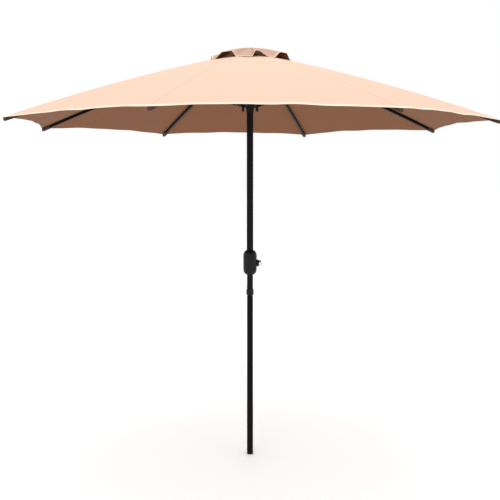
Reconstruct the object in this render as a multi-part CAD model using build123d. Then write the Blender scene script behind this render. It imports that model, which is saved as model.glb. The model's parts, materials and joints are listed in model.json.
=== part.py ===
"""Market patio umbrella with eight ribs, a crank lift and a two-piece pole.

Frame: millimetres, +Z up the pole, origin at the centre of the pole's foot.
Rib 1 lies 22.5 degrees from +X, and the crank turns about an axis along +X.
The umbrella is modelled open.
"""
import os
from math import asin, atan2, cos, hypot, pi, radians, sin, sqrt

from build123d import *

# ---------------------------------------------------------------- driving dimensions
# canopy and ribs
rib_count = 8
first_rib_angle = 22.5          # azimuth of rib 1, degrees
canopy_radius = 1370.0          # pole axis to a canopy corner
rib_tip_inset = 8.0             # canopy corner to the end of the rib, horizontally
overall_height = 2332.0         # foot of the pole to the top of the vent cap
hub_drop = 47.0                 # top of the vent cap to the hub's pivots
canopy_rise = 405.0             # rib ends to the hub's pivots
rib_bow = 22.0                  # rise of the rib's arc over its chord
hem_scallop = 30.0              # how far the hem curves in between two ribs
fabric_thickness = 1.2          # canopy cloth with its seams
fabric_gap = 0.3                # cloth to the piece that it lies on
vent_hole_radius = 150.0        # opening at the top of the main canopy
vent_radius = 241.0             # corners of the vent cap
vent_lift = 25.0                # rise of the vent's hem between two ribs

# folding linkage
pivot_radius = 40.0             # pole axis to the pivots of the hub and the runner
strut_length = 515.0            # also the distance from hub pivot to rib bracket
open_slope = 16.5               # slope of the struts when open, degrees
closed_lean = 3.0               # struts to the vertical when closed, degrees
ring_wire_radius = 1.5          # wire that the ribs and the struts turn on
rivet_radius = 2.0
rivet_head_radius, rivet_head_height = 3.6, 1.4

# sections
rib_width, rib_depth, rib_wall = 12.0, 18.0, 1.0
strut_width, strut_depth, strut_wall = 10.0, 10.0, 1.0
blade_width = 6.0               # flattened ends that enter the hub and the runner
blade_setback = 18.0            # pivot to the start of the tube
blade_overlap = 12.0            # solid length inside the end of a tube
rib_blade_depth, rib_eye_radius = 13.0, 7.0
strut_blade_depth, strut_eye_radius = 9.0, 5.5
end_plug_length = 12.0          # visible part of the rib's end plug
end_plug_stem = 18.0
bracket_gauge, bracket_web = 1.5, 1.2
bracket_half_length, bracket_side_rise = 18.0, 3.0
bracket_ear_half, bracket_ear_below = 8.0, 7.0  # ears beside and below the rivet

# poles
upper_pole_radius = 19.0
lower_pole_radius = 17.5
pole_wall = 1.2
lower_pole_length = 905.0       # foot to the joint with the middle pole
joint_to_housing = 123.0
taper_length = 8.0
end_cap_height = 10.0
end_cap_stem = 25.0
collar_wall, collar_length = 3.7, 34.0
collar_below_joint = 2.0
snap_button_radius, snap_button_reach = 4.0, 3.0
snap_button_flange = 1.2        # also the thickness of the flange
collar_to_button = 14.0
spigot_above_button = 26.0      # rest of the swaged end that enters the middle pole
leaf_gauge, leaf_width = 0.8, 12.0
leaf_below_button = 14.0
leaf_to_spigot_end = 2.0

# crank housing
housing_length = 141.0
housing_radius = 39.5
housing_wall = 3.0
shoulder_step = 1.5             # dome and base lie this far inside the bands
dome_height, base_height = 29.0, 25.0
band_height, groove_depth, groove_height = 7.0, 1.2, 1.5
upper_socket_depth, lower_socket_depth = 39.0, 32.0
socket_wall = 3.0
crank_rise = 66.0               # bottom of the housing to the crank's axis
crank_collar_radius, crank_collar_length = 20.0, 10.5
screw_radius, screw_head_radius, screw_head_height = 1.9, 3.6, 2.4
screw_slot_width, screw_slot_half, screw_slot_depth = 1.0, 2.4, 1.0
screw_post_radius = 4.5
screw_offset_x, screw_offset_z = 26.0, 24.0
screw_head_sink = 7.0           # surface of the housing to the head's seat
screw_reach = 14.0              # past the seam into the front half
seam_gap = 0.1

# crank
shaft_radius = 6.0
shaft_end_cover = 6.5           # surface of the housing to the shaft's blind end
shaft_square = 8.0
spool_core_radius, spool_flange_radius = 11.4, 20.0
spool_half_length, spool_flange = 13.0, 2.0
bearing_radius, bearing_face = 12.0, 20.0
washer_rim = 3.0                # washer beyond the bearing
arm_to_collar = 1.0
arm_hub_radius, arm_hub_thickness = 16.5, 12.0
arm_hub_step = 2.0              # inner face of the hub to that of the arm
arm_rim, arm_pocket_depth = 2.0, 1.2
arm_length = 92.0
arm_root_width, arm_tip_width, arm_thickness = 22.0, 11.0, 8.0
arm_end_radius = 8.0
arm_droop = 13.0                # handle below the horizontal, degrees
badge_radius, badge_thickness = 13.0, 1.3
badge_recess = 0.1              # badge below the hub's face, and above its seat
grip_radius, grip_length = 7.5, 17.0
grip_post_radius, grip_post_length = 3.0, 15.0

# hub, runner and pulley
carrier_rim = 1.0               # notched rings beyond the ribs' eyes
hub_ring_half = 8.0             # half height of the notched ring of the hub
hub_sleeve_wall, hub_sleeve_drop = 4.9, 35.0
hub_block_rise = 31.0
pole_above_pivots = 5.0
runner_sleeve_wall = 2.5
runner_drop, runner_rise = 36.0, 20.0
runner_ring_down, runner_ring_up = 8.0, 12.0
runner_ear_depth, runner_web = 8.0, 8.0  # ears inwards of the pivots; web above the opening
runner_lug_thickness, runner_lug_width = 15.0, 14.0
runner_lug_drop = 29.5          # pivots to the rounded end of the two hanging lugs
pulley_radius, pulley_width, pulley_rise = 11.0, 6.0, 18.0
pulley_clearance = 2.0
cord_radius, cord_fit = 1.5, 0.5
cord_hole_radius, cord_hole_gap = 3.0, 1.5
top_cap_rim, top_cap_skirt = 7.0, 8.0
top_cap_edge = 1.0              # rise of the rim's underside

# fits
running_fit = 0.05              # radial, shaft in bearing or pin in eye
tube_fit = 0.1                  # radial, tube in tube
slide_fit = 0.5                 # radial, runner on the pole
side_gap = 0.5                  # each side of a blade in its slot
wire_eye_fit = 0.3              # radial, ring wire through an eye
part_gap = 0.3                  # between faces that pass each other

# ---------------------------------------------------------------- worked-out geometry
half_step = 180.0 / rib_count
hub_pivot_height = overall_height - hub_drop
tip_height = hub_pivot_height - canopy_rise
housing_bottom = lower_pole_length + joint_to_housing
housing_top = housing_bottom + housing_length
crank_height = housing_bottom + crank_rise
crank_collar_reach = housing_radius + crank_collar_length
shaft_inner_end = housing_radius - shaft_end_cover

upper_pole_bore = upper_pole_radius - pole_wall
lower_pole_bore = lower_pole_radius - pole_wall
upper_pole_bottom = housing_top - upper_socket_depth
upper_pole_top = hub_pivot_height + pole_above_pivots
middle_pole_bottom = lower_pole_length + taper_length
middle_pole_top = housing_bottom + lower_socket_depth
collar_bottom = middle_pole_bottom - collar_below_joint
collar_top = collar_bottom + collar_length
collar_bore = lower_pole_radius + tube_fit
collar_radius = collar_bore + collar_wall
snap_button_height = collar_top + collar_to_button
spigot_radius = lower_pole_bore - tube_fit
spigot_bore = spigot_radius - pole_wall
spigot_top = snap_button_height + spigot_above_button

carrier_radius = pivot_radius + rib_eye_radius + carrier_rim
hub_sleeve_radius = upper_pole_radius + tube_fit + hub_sleeve_wall
hub_block_top = hub_pivot_height + hub_block_rise
runner_sleeve_radius = upper_pole_radius + slide_fit + runner_sleeve_wall
cord_hole_offset = hub_sleeve_radius + cord_hole_gap + cord_hole_radius
top_cap_radius = hub_sleeve_radius + top_cap_rim

bracket_x = pivot_radius + strut_length * cos(radians(open_slope))
bracket_z = hub_pivot_height - strut_length * sin(radians(open_slope))
runner_pivot_height = hub_pivot_height - 2 * strut_length * sin(radians(open_slope))
closed_slope = 90.0 - closed_lean
fold_angle = closed_slope - open_slope
runner_travel = 2 * strut_length * (sin(radians(closed_slope)) - sin(radians(open_slope)))

rib_end_x = canopy_radius - rib_tip_inset
rib_run, rib_fall = rib_end_x - pivot_radius, hub_pivot_height - tip_height
rib_chord = hypot(rib_run, rib_fall)
rib_arc_radius = rib_chord ** 2 / (8 * rib_bow) + rib_bow / 2
rib_sweep = 2 * asin(rib_chord / (2 * rib_arc_radius))
rib_length = rib_arc_radius * rib_sweep
rib_chord_slope = atan2(rib_fall, rib_run)
rib_start_direction = pi / 2 - rib_chord_slope + rib_sweep / 2
arc_centre_x = pivot_radius - rib_arc_radius * cos(rib_start_direction)
arc_centre_z = hub_pivot_height - rib_arc_radius * sin(rib_start_direction)
bracket_station = rib_arc_radius * (
    rib_start_direction - atan2(bracket_z - arc_centre_z, bracket_x - arc_centre_x)
)
bracket_drop = rib_arc_radius - hypot(bracket_x - arc_centre_x, bracket_z - arc_centre_z)
cloth_offset = rib_depth / 2 + 4 * fabric_gap   # rib centre line to the cloth's underside

nodes = {}


# ---------------------------------------------------------------- shape helpers
def disc(radius, bottom, top):
    """Upright cylinder on the pole axis."""
    return Pos(0, 0, (bottom + top) / 2) * Cylinder(radius, top - bottom)


def tube(radius, bore, bottom, top):
    """Upright tube on the pole axis."""
    return disc(radius, bottom, top) - disc(bore, bottom - 1, top + 1)


def block(low, high):
    """Box between two opposite corners."""
    centre = [(a + b) / 2 for a, b in zip(low, high)]
    size = [b - a for a, b in zip(low, high)]
    return Pos(*centre) * Box(*size)


def rod_x(radius, start, end, y=0.0, z=0.0):
    """Cylinder along X between two X values."""
    return Pos((start + end) / 2, y, z) * Rot(0, 90, 0) * Cylinder(radius, end - start)


def rod_y(radius, start, end, x=0.0, z=0.0):
    """Cylinder along Y between two Y values."""
    return Pos(x, (start + end) / 2, z) * Rot(90, 0, 0) * Cylinder(radius, end - start)


def spun(outline):
    """Solid of revolution about the pole axis from an outline in radius and height."""
    return revolve(Plane.XZ * make_face(outline), Axis.Z)


def around(shape, number):
    """Turn a shape built at azimuth 0 to rib number 1 to rib_count."""
    return Rot(0, 0, first_rib_angle + (number - 1) * 2 * half_step) * shape


def all_around(shape):
    """The shape at every rib's azimuth."""
    return [around(shape, number) for number in range(1, rib_count + 1)]


def keep(name, *solids):
    """Store the solids that make up one named node."""
    nodes[name] = solids[0] if len(solids) == 1 else Compound(children=list(solids))


def rib_point(station, offset=0.0):
    """Point in the rib's plane: distance along its centre line, and height above it."""
    direction = rib_start_direction - station / rib_arc_radius
    reach = rib_arc_radius + offset
    return arc_centre_x + reach * cos(direction), arc_centre_z + reach * sin(direction)


def rib_band(start, end, low, high, width):
    """Curved bar that follows the rib's centre line."""
    middle = (start + end) / 2
    upper = ThreePointArc(*[rib_point(s, high) for s in (start, middle, end)])
    lower = ThreePointArc(*[rib_point(s, low) for s in (end, middle, start)])
    ends = Line(upper @ 1, lower @ 0) + Line(lower @ 1, upper @ 0)
    return extrude(Plane.XZ * make_face(upper + lower + ends), width / 2, both=True)


# ---------------------------------------------------------------- poles
def make_poles():
    shoulder = lower_pole_length - taper_length
    lower = spun(Polyline(
        (lower_pole_radius, end_cap_height),
        (lower_pole_radius, shoulder),
        (spigot_radius, lower_pole_length),
        (spigot_radius, spigot_top),
        (spigot_bore, spigot_top),
        (spigot_bore, lower_pole_length),
        (lower_pole_bore, shoulder),
        (lower_pole_bore, end_cap_height),
        close=True,
    ))
    button_hole = rod_x(snap_button_radius + 2 * tube_fit, -2 * lower_pole_radius, 0,
                        z=snap_button_height)
    keep("lower_pole", lower - button_hole)
    middle = tube(lower_pole_radius, lower_pole_bore, middle_pole_bottom, middle_pole_top)
    keep("middle_pole", middle - button_hole)
    keep("upper_pole", tube(upper_pole_radius, upper_pole_bore, upper_pole_bottom,
                            upper_pole_top))

    stem_radius = lower_pole_bore - tube_fit
    cap = disc(lower_pole_radius, 0, end_cap_height)
    cap += disc(stem_radius, end_cap_height, end_cap_height + end_cap_stem)
    cap -= disc(stem_radius - 2 * pole_wall, end_cap_height / 2,
                end_cap_height + end_cap_stem + 1)
    keep("pole_end_cap", cap)

    edge = collar_wall * 0.6
    keep("joint_collar", spun(Polyline(
        (collar_bore, collar_bottom), (collar_radius - edge, collar_bottom),
        (collar_radius, collar_bottom + 2 * edge), (collar_radius, collar_top - 2 * edge),
        (collar_radius - edge, collar_top), (collar_bore, collar_top),
        close=True,
    )))


def make_snap_lock():
    """Spring button that locks the lower pole into the middle pole."""
    leaf_outer = sqrt((spigot_bore - part_gap) ** 2 - (leaf_width / 2) ** 2) - part_gap
    leaf_inner = leaf_outer - leaf_gauge
    leg_bottom = snap_button_height - leaf_below_button
    leg_top = spigot_top - leaf_outer - leaf_to_spigot_end
    arch = rod_y(leaf_outer, -leaf_width / 2, leaf_width / 2, z=leg_top)
    arch -= rod_y(leaf_inner, -leaf_width, leaf_width, z=leg_top)
    arch -= block((-leaf_outer - 1, -leaf_width, leg_top - 2 * leaf_outer),
                  (leaf_outer + 1, leaf_width, leg_top))
    spring = arch
    for side in (-1, 1):
        ends = sorted((side * leaf_inner, side * leaf_outer))
        spring += block((ends[0], -leaf_width / 2, leg_bottom),
                        (ends[1], leaf_width / 2, leg_top))
    stem_hole = rod_x(snap_button_radius + tube_fit, -2 * leaf_outer, 0, z=snap_button_height)
    keep("snap_spring", spring - stem_hole)

    tip = -lower_pole_radius - snap_button_reach
    shoulder = -leaf_inner + part_gap
    button = rod_x(snap_button_radius, tip, shoulder, z=snap_button_height)
    button = chamfer(button.faces().sort_by(Axis.X)[0].edges(), 1.0)
    button += rod_x(snap_button_radius + snap_button_flange, shoulder,
                    shoulder + snap_button_flange, z=snap_button_height)
    keep("snap_button", button)


# ---------------------------------------------------------------- crank housing
def housing_outline(inset):
    """Housing shape of revolution. The inset gives the inside of the shell."""
    radius = housing_radius - inset
    band = 0.0 if inset else groove_depth
    shoulder = radius if inset else radius - shoulder_step
    dome_foot = housing_top - dome_height
    base_foot = housing_bottom + base_height
    neck_top = upper_pole_radius + socket_wall - 1.0
    neck_bottom = lower_pole_radius + socket_wall
    top, bottom = housing_top - inset, housing_bottom + inset
    dome = ThreePointArc(
        (neck_top, top), (neck_top + 0.66 * (shoulder - neck_top), top - 0.32 * dome_height),
        (shoulder, dome_foot))
    base = ThreePointArc(
        (shoulder, base_foot),
        (neck_bottom + 0.66 * (shoulder - neck_bottom), bottom + 0.36 * base_height),
        (neck_bottom, bottom))
    side, height = [(shoulder, dome_foot)], dome_foot
    for _ in range(2):
        side += [(radius, height), (radius, height - band_height)]
        side += [(radius - band, height - band_height),
                 (radius - band, height - band_height - groove_height)]
        height -= band_height + groove_height
    side += [(radius - groove_depth / 2, height)]
    low = base_foot + band_height + groove_height
    side += [(radius - groove_depth / 2, low), (shoulder - band, low),
             (shoulder - band, low - groove_height), (shoulder, low - groove_height),
             (shoulder, base_foot)]
    if inset:
        side = [(shoulder, dome_foot), (shoulder, base_foot)]
    ends = Polyline((neck_bottom, bottom), (0, bottom), (0, top), (neck_top, top))
    return dome + Polyline(*side) + base + ends


def make_housing():
    shell = spun(housing_outline(0.0))
    collar = rod_x(crank_collar_radius, 0, crank_collar_reach, z=crank_height)
    collar = chamfer(collar.faces().sort_by(Axis.X)[-1].edges(), 1.5)
    cavity = spun(housing_outline(housing_wall))
    shell = (shell + collar) - cavity

    # sockets for the two tubes, each with a ledge that the tube's end stands on
    for radius, mouth, ledge in (
        (upper_pole_radius, housing_top, upper_pole_bottom),
        (lower_pole_radius, housing_bottom, middle_pole_top),
    ):
        inward = 1 if ledge > mouth else -1
        end = ledge + inward * socket_wall
        shell += disc(radius + socket_wall, *sorted((mouth + inward, end)))
        shell -= disc(radius - 2 * pole_wall, *sorted((mouth - inward, end + inward)))
        shell -= disc(radius + tube_fit, *sorted((mouth - inward, ledge)))

    # bearings of the crank shaft and the screw posts, kept inside the shell
    inside = spun(housing_outline(housing_wall / 2))
    bearings = rod_x(bearing_radius, bearing_face, housing_radius, z=crank_height)
    bearings += rod_x(bearing_radius, -housing_radius, -bearing_face, z=crank_height)
    posts = [
        rod_y(screw_post_radius, -housing_radius, housing_radius, x, crank_height + z)
        for x in (-screw_offset_x, screw_offset_x)
        for z in (-screw_offset_z, screw_offset_z)
    ]
    shell += bearings & inside
    for post in posts:
        shell += post & inside
    shell -= rod_x(shaft_radius + running_fit, -shaft_inner_end - part_gap,
                   crank_collar_reach + 1, z=crank_height)

    # screws go in from the rear: clearance and counterbore there, pilot in front
    head_seat = sqrt(housing_radius ** 2 - screw_offset_x ** 2) - screw_head_sink
    head_top = head_seat + screw_head_height
    half_slot, long_half = screw_slot_width / 2, screw_slot_half
    slot_floor, slot_top = head_top - screw_slot_depth, head_top + 1
    screws = []
    for x in (-screw_offset_x, screw_offset_x):
        for z in (crank_height - screw_offset_z, crank_height + screw_offset_z):
            shell -= rod_y(screw_radius + tube_fit, -screw_reach - 1, housing_radius, x, z)
            shell -= rod_y(screw_head_radius + side_gap, head_seat, housing_radius, x, z)
            head = rod_y(screw_head_radius, head_seat, head_top, x, z)
            slot = block((x - half_slot, slot_floor, z - long_half),
                         (x + half_slot, slot_top, z + long_half))
            cross = block((x - long_half, slot_floor, z - half_slot),
                          (x + long_half, slot_top, z + half_slot))
            screws.append(rod_y(screw_radius, -screw_reach, head_seat, x, z) + head - slot - cross)
    keep("housing_screws", *screws)

    far, seam = 2 * housing_radius, seam_gap / 2
    for name, low, high in (("housing_front", -far, -seam), ("housing_rear", seam, far)):
        half = block((-far, low, housing_bottom - 5), (far, high, housing_top + 5))
        keep(name, shell & half)


# ---------------------------------------------------------------- crank
def make_crank():
    hub_start = crank_collar_reach + arm_to_collar
    hub_end = hub_start + arm_hub_thickness
    badge_top = hub_end - badge_recess
    badge_seat = badge_top - badge_thickness - badge_recess
    square_end = badge_seat - 2 * badge_recess
    shaft = rod_x(shaft_radius, -shaft_inner_end, hub_start - part_gap, z=crank_height)
    half_square = shaft_square / 2
    shaft += block((0, -half_square, crank_height - half_square),
                   (square_end, half_square, crank_height + half_square))
    lean = Pos(0, 0, crank_height) * Rot(180 - arm_droop, 0, 0) * Pos(0, 0, -crank_height)
    keep("crank_shaft", lean * shaft)

    length, flange = spool_half_length, spool_flange
    spool = rod_x(spool_core_radius, -length, length, z=crank_height)
    for start in (-length - flange, length):
        spool += rod_x(spool_flange_radius, start, start + flange, z=crank_height)
    spool -= rod_x(shaft_radius + running_fit, -2 * length, 2 * length, z=crank_height)
    spool -= rod_x(cord_radius + running_fit, length - 1, length + flange + 1,
                   y=spool_core_radius + 2 * cord_radius, z=crank_height)
    keep("crank_spool", spool)

    washers = []
    for side in (-1, 1):
        faces = sorted((side * (length + flange + part_gap), side * (bearing_face - part_gap)))
        washer = rod_x(bearing_radius + washer_rim, *faces, z=crank_height)
        washers.append(washer - rod_x(shaft_radius + part_gap, -bearing_face, bearing_face,
                                      z=crank_height))
    keep("brake_washers", *washers)

    # arm along -Y, then turned over to +Y and down by the droop
    arm_start = hub_start + arm_hub_step
    arm_face = arm_start + arm_thickness
    arm = rod_x(arm_hub_radius, hub_start, hub_end, z=crank_height)
    root, tip = arm_root_width / 2, arm_tip_width / 2
    taper = Polyline((0, root), (-arm_length, tip), (-arm_length, -tip), (0, -root), close=True)
    blank = Plane.YZ.offset(arm_start) * make_face(taper)
    arm += Pos(0, 0, crank_height) * extrude(blank, arm_thickness)
    arm += rod_x(arm_end_radius, arm_start, hub_end, y=-arm_length, z=crank_height)
    arm += rod_x(grip_post_radius, hub_end, hub_end + grip_post_length, y=-arm_length,
                 z=crank_height)
    rim = arm_rim
    for side in (-1, 1):
        first, last = arm_hub_radius + rim, arm_length - arm_end_radius - 3 * rim
        width = [root + (tip - root) * d / arm_length - rim for d in (first, last)]
        panel = Polyline(
            (-first, side * rim / 2), (-first, side * width[0]),
            (-last, side * width[1]), (-last, side * rim / 2), close=True)
        pocket = Plane.YZ.offset(arm_face - arm_pocket_depth) * make_face(panel)
        arm -= Pos(0, 0, crank_height) * extrude(pocket, 2 * arm_pocket_depth)
    arm -= rod_x(badge_radius + tube_fit, badge_seat, hub_end + 1, z=crank_height)
    socket = half_square + running_fit
    arm -= block((hub_start - 1, -socket, crank_height - socket),
                 (hub_end, socket, crank_height + socket))
    keep("crank_arm", lean * arm)
    keep("crank_badge", rod_x(badge_radius, badge_top - badge_thickness, badge_top,
                              z=crank_height))

    grip = rod_x(grip_radius, hub_end + part_gap, hub_end + grip_length, y=-arm_length,
                 z=crank_height)
    grip = chamfer(grip.faces().sort_by(Axis.X)[-1].edges(), 1.0)
    grip -= rod_x(grip_post_radius + running_fit, hub_end,
                  hub_end + grip_post_length + part_gap, y=-arm_length, z=crank_height)
    keep("crank_grip", lean * grip)


# ---------------------------------------------------------------- hub, runner, pulley
def notched_ring(height, down, up):
    """Ring with one slot for each blade and a bored channel for the ring wire."""
    ring = disc(carrier_radius, height - down, height + up)
    half_slot = blade_width / 2 + side_gap
    slot = block((pivot_radius - rib_eye_radius - side_gap, -half_slot, height - down - 1),
                 (carrier_radius + 1, half_slot, height + up + 1))
    for cut in all_around(slot):
        ring -= cut
    return ring - Pos(0, 0, height) * Torus(pivot_radius, ring_wire_radius + running_fit)


def make_hub():
    pole_bore = upper_pole_radius + tube_fit
    hub = notched_ring(hub_pivot_height, hub_ring_half, hub_ring_half)
    hub += disc(hub_sleeve_radius, hub_pivot_height - hub_sleeve_drop, hub_block_top)
    hub -= disc(pole_bore, hub_pivot_height - hub_sleeve_drop - 1, upper_pole_top)
    axle_height = hub_pivot_height + pulley_rise
    half_slot = pulley_width / 2 + side_gap
    reach = pulley_radius + pulley_clearance
    hub -= block((-reach, -half_slot, upper_pole_top - 1),
                 (hub_sleeve_radius + 1, half_slot, hub_block_top + 1))
    hub -= Pos(cord_hole_offset, 0, 0) * disc(
        cord_hole_radius, hub_pivot_height - 2 * hub_ring_half,
        hub_pivot_height + 2 * hub_ring_half)
    hub -= rod_y(rivet_radius + running_fit, -carrier_radius, carrier_radius, z=axle_height)
    keep("top_hub", hub)
    keep("hub_ring", Pos(0, 0, hub_pivot_height) * Torus(pivot_radius, ring_wire_radius))
    keep("pulley_pin", rod_y(rivet_radius, -hub_sleeve_radius + 1, hub_sleeve_radius - 1,
                             z=axle_height))
    pulley = rod_y(pulley_radius, -pulley_width / 2, pulley_width / 2, z=axle_height)
    pulley -= Pos(0, 0, axle_height) * Rot(90, 0, 0) * Torus(pulley_radius,
                                                             cord_radius + cord_fit)
    pulley -= rod_y(rivet_radius + running_fit, -pulley_width, pulley_width, z=axle_height)
    keep("top_pulley", pulley)

    # cap between the hub and the cloth, sloped like the vent cap
    slope = (overall_height - vent_corner_height()) / vent_radius
    peak = overall_height - fabric_thickness - fabric_gap
    edge = peak - slope * top_cap_radius
    skirt_bottom = hub_block_top - top_cap_skirt
    keep("top_cap", spun(Polyline(
        (0, hub_block_top), (hub_sleeve_radius + tube_fit, hub_block_top),
        (hub_sleeve_radius + tube_fit, skirt_bottom),
        (hub_sleeve_radius + socket_wall, skirt_bottom),
        (hub_sleeve_radius + socket_wall, hub_block_top),
        (top_cap_radius, hub_block_top + top_cap_edge),
        (top_cap_radius, edge), (0, peak), close=True,
    )))


def make_runner():
    height = runner_pivot_height
    runner = notched_ring(height, runner_ring_down, runner_ring_up)
    # open underneath between the sleeve and the ears
    runner -= tube(pivot_radius - runner_ear_depth, runner_sleeve_radius,
                   height - runner_ring_down - 1, height + runner_ring_up - runner_web)
    runner += disc(runner_sleeve_radius, height - runner_drop, height + runner_rise)
    runner -= disc(upper_pole_radius + slide_fit, height - runner_drop - 1,
                   height + runner_rise + 1)
    runner -= Pos(cord_hole_offset, 0, 0) * disc(cord_radius + cord_fit, height,
                                                 height + 2 * runner_ring_up)
    # two lugs with rounded ends hang from the ring, clear of the sleeve
    half_width = runner_lug_width / 2
    lug_centre = height - runner_lug_drop + half_width
    for side in (-1, 1):
        inner, outer = sorted((side * (carrier_radius - runner_lug_thickness),
                               side * carrier_radius))
        runner += block((inner, -half_width, lug_centre),
                        (outer, half_width, height - runner_ring_down + 1))
        runner += rod_x(half_width, inner, outer, z=lug_centre)
    keep("runner", runner)
    keep("runner_ring", Pos(0, 0, height) * Torus(pivot_radius, ring_wire_radius))


# ---------------------------------------------------------------- ribs, brackets, struts
def make_ribs():
    half_depth = rib_depth / 2
    tube_end = rib_length - end_plug_length
    rib = rib_band(blade_setback, tube_end, -half_depth, half_depth, rib_width)
    rib -= rib_band(blade_setback + blade_overlap, tube_end + 1, -half_depth + rib_wall,
                    half_depth - rib_wall, rib_width - 2 * rib_wall)
    rib += rib_band(0, blade_setback + 2, -rib_blade_depth / 2, rib_blade_depth / 2, blade_width)
    rib += rod_y(rib_eye_radius, -blade_width / 2, blade_width / 2, pivot_radius,
                 hub_pivot_height)
    rib -= rod_y(ring_wire_radius + wire_eye_fit, -blade_width, blade_width, pivot_radius,
                 hub_pivot_height)

    plug = rib_band(tube_end, rib_length, -half_depth, half_depth, rib_width)
    stem = half_depth - rib_wall - tube_fit
    plug += rib_band(tube_end - end_plug_stem, tube_end, -stem, stem,
                     rib_width - 2 * (rib_wall + tube_fit))

    # saddle under the rib that carries the strut's rivet
    channel = rib_width + 2 * tube_fit
    side = channel / 2 + bracket_gauge
    below = -2 * bracket_drop
    start, end = bracket_station - bracket_half_length, bracket_station + bracket_half_length
    bracket = rib_band(start, end, -bracket_drop - bracket_ear_below, bracket_side_rise, 2 * side)
    bracket -= rib_band(start - 1, end + 1, -half_depth - running_fit, half_depth, channel)
    bracket -= rib_band(start - 1, end + 1, below, -half_depth - bracket_web, channel)
    for one, two in ((start - 1, bracket_station - bracket_ear_half),
                     (bracket_station + bracket_ear_half, end + 1)):
        bracket -= rib_band(one, two, below, -half_depth - 2 * bracket_gauge, 4 * side)
    bracket -= rod_y(rivet_radius + running_fit, -2 * side, 2 * side, bracket_x, bracket_z)
    bracket -= rod_y(strut_depth / 2 + side_gap, -channel / 2, channel / 2, bracket_x, bracket_z)
    rivet = rod_y(rivet_radius, -side - rivet_head_height, side + rivet_head_height,
                  bracket_x, bracket_z)
    for face in (-side - rivet_head_height, side + running_fit):
        rivet += rod_y(rivet_head_radius, face, face + rivet_head_height - running_fit,
                       bracket_x, bracket_z)

    for number in range(1, rib_count + 1):
        keep(f"rib_{number}", around(rib, number), around(plug, number))
        keep(f"rib_bracket_{number}", around(bracket, number), around(rivet, number))


def make_struts():
    half_depth, half_width = strut_depth / 2, strut_width / 2
    strut = block((blade_setback, -half_width, -half_depth),
                  (strut_length, half_width, half_depth))
    strut -= block((blade_setback + blade_overlap, -half_width + strut_wall,
                    -half_depth + strut_wall),
                   (strut_length - blade_overlap, half_width - strut_wall,
                    half_depth - strut_wall))
    strut += rod_y(half_depth, -half_width, half_width, strut_length)
    strut += block((0, -blade_width / 2, -strut_blade_depth / 2),
                   (blade_setback + 2, blade_width / 2, strut_blade_depth / 2))
    strut += rod_y(strut_eye_radius, -blade_width / 2, blade_width / 2)
    strut -= rod_y(ring_wire_radius + wire_eye_fit, -strut_width, strut_width)
    strut -= rod_y(rivet_radius + running_fit, -strut_width, strut_width, strut_length)
    placed = Pos(pivot_radius, 0, runner_pivot_height) * Rot(0, -open_slope, 0) * strut
    for number in range(1, rib_count + 1):
        keep(f"strut_{number}", around(placed, number))


# ---------------------------------------------------------------- cloth
def cloth_height(radius):
    """Height of the cloth's underside over a rib, at a distance from the pole axis."""
    reach = rib_arc_radius + cloth_offset
    return arc_centre_z + sqrt(reach ** 2 - (radius - arc_centre_x) ** 2)


def vent_corner_height():
    return cloth_height(vent_radius) + 2 * fabric_thickness + 2 * fabric_gap


def make_canopy():
    """Main canopy as one pair of half panels for each rib, sewn along the rib."""
    squeeze = cos(radians(half_step))
    half_chord = canopy_radius * sin(radians(half_step))
    hem_radius = (half_chord ** 2 + hem_scallop ** 2) / (2 * hem_scallop)
    hem_centre = canopy_radius * squeeze - hem_scallop + hem_radius
    low_radius, high_radius = vent_hole_radius, canopy_radius + 10.0
    radii = (low_radius, (low_radius + high_radius) / 2, high_radius)
    under = [(r * squeeze, cloth_height(r)) for r in radii]
    over = [(x, z + fabric_thickness) for x, z in under]
    outline = ThreePointArc(*under) + ThreePointArc(*over)
    outline += Line(under[0], over[0]) + Line(under[2], over[2])
    along = (cos(radians(half_step)), sin(radians(half_step)), 0)
    across = (along[1], -along[0], 0)
    middle_plane = Plane(origin=(0, 0, 0), x_dir=along, z_dir=across)
    band = extrude(middle_plane.offset(fabric_gap / 2) * make_face(outline), canopy_radius)
    band &= block((0, 0, 0), (2 * canopy_radius, canopy_radius, 2 * overall_height))
    hem = Pos(hem_centre * along[0], hem_centre * along[1], 0) * disc(
        hem_radius, tip_height - canopy_rise, overall_height)
    right = band - hem
    left = mirror(right, Plane.XZ)
    for number in range(1, rib_count + 1):
        keep(f"canopy_panel_{number}", around(right, number), around(left, number))


def make_vent_cap():
    """Cloth cap with its corners on the canopy over the ribs and its hem lifted between."""
    corner_z = vent_corner_height() - fabric_thickness
    middle_radius = vent_radius * cos(radians(half_step))
    rim = []
    for step in range(2 * rib_count):
        angle = radians(first_rib_angle + step * half_step)
        radius, height = (middle_radius, corner_z + vent_lift) if step % 2 else (
            vent_radius, corner_z)
        rim.append(Vector(radius * cos(angle), radius * sin(angle), height))
    apex = Vector(0, 0, overall_height - fabric_thickness)
    rise = Vector(0, 0, fabric_thickness)
    faces = []
    for one, two in zip(rim, rim[1:] + rim[:1]):
        corners = ((apex, one, two), (apex + rise, one + rise, two + rise),
                   (one, two, two + rise, one + rise))
        faces += [Face(Wire.make_polygon(ring, close=True)) for ring in corners]
    keep("vent_cap", Solid(Shell(faces)))


make_poles()
make_snap_lock()
make_housing()
make_crank()
make_hub()
make_runner()
make_ribs()
make_struts()
make_canopy()
make_vent_cap()

os.makedirs("parts", exist_ok=True)
for name, shape in nodes.items():
    export_step(shape, f"parts/{name}.step")
print(len(nodes), "nodes; fold", fold_angle, "degrees; runner travel", round(runner_travel, 1))
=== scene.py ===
"""Looks of the patio umbrella: cloth canopy and vent, crank handle, finishes, studio and camera.

All lengths are in metres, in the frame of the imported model.
"""
import json
from math import atan2, cos, hypot, pi, radians, sin, sqrt, tan

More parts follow.
